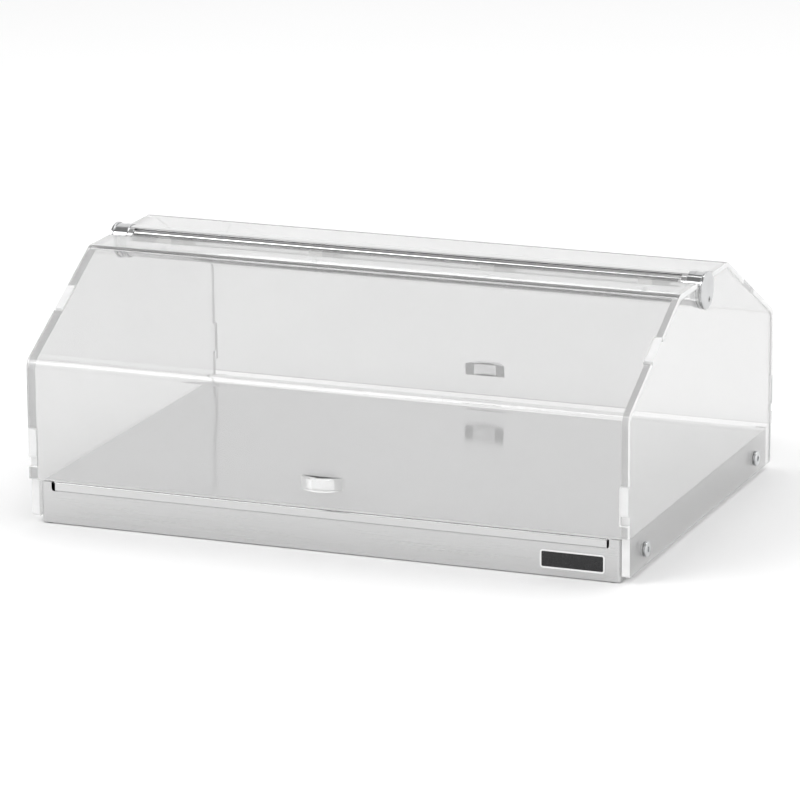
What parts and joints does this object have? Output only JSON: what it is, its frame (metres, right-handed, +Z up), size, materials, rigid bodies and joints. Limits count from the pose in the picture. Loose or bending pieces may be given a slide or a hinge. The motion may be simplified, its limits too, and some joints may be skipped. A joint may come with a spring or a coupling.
{
  "type": "bakery display case",
  "caption": "Countertop bakery display case: folded steel base with a shelf, clear acrylic side panels and lift-up front and rear flaps hung from a slotted steel tube.",
  "frame": {"origin": "bottom centre of the case, at the level of the table", "axes": "+X along the width, to the right seen from the front; +Y to the rear; +Z up"},
  "size_m": [0.627, 0.4746, 0.2545],
  "materials": {
    "stainless_steel": "satin",
    "polished_steel": "polished",
    "fastener_steel": "bright",
    "clear_acrylic": "clear polished",
    "white_nylon": "matte",
    "foot_rubber": "matte",
    "badge_black": "gloss"
  },
  "bodies": {
    "case": {"base_frame": "stainless_steel", "shelf_plate": "stainless_steel", "foot_pads": "foot_rubber", "badge": "badge_black", "left_side_panel": "clear_acrylic", "right_side_panel": "clear_acrylic", "left_panel_screws": "fastener_steel", "right_panel_screws": "fastener_steel", "left_panel_spacers": "fastener_steel", "right_panel_spacers": "fastener_steel", "left_weld_nuts": "fastener_steel", "right_weld_nuts": "fastener_steel", "hinge_tube": "stainless_steel", "left_hinge_cap": "polished_steel", "right_hinge_cap": "polished_steel", "left_cap_disc": "polished_steel", "right_cap_disc": "polished_steel", "left_cap_screw": "fastener_steel", "right_cap_screw": "fastener_steel", "rod_bearings": "white_nylon", "bearing_screws": "fastener_steel"},
    "front_flap": {"front_flap_pane": "clear_acrylic", "front_hinge_rod": "stainless_steel", "front_handle": "clear_acrylic"},
    "rear_flap": {"rear_flap_pane": "clear_acrylic", "rear_hinge_rod": "stainless_steel", "rear_handle": "clear_acrylic"}
  },
  "joints": [
    {"name": "front_flap_hinge", "type": "hinge", "parent": "case", "child": "front_flap", "pos_m": [0, -0.005, 0.2445], "axis": [-1, 0, 0], "range_deg": [0, 60]},
    {"name": "rear_flap_hinge", "type": "hinge", "parent": "case", "child": "rear_flap", "pos_m": [0, 0.005, 0.2445], "axis": [1, 0, 0], "range_deg": [0, 60]}
  ]
}
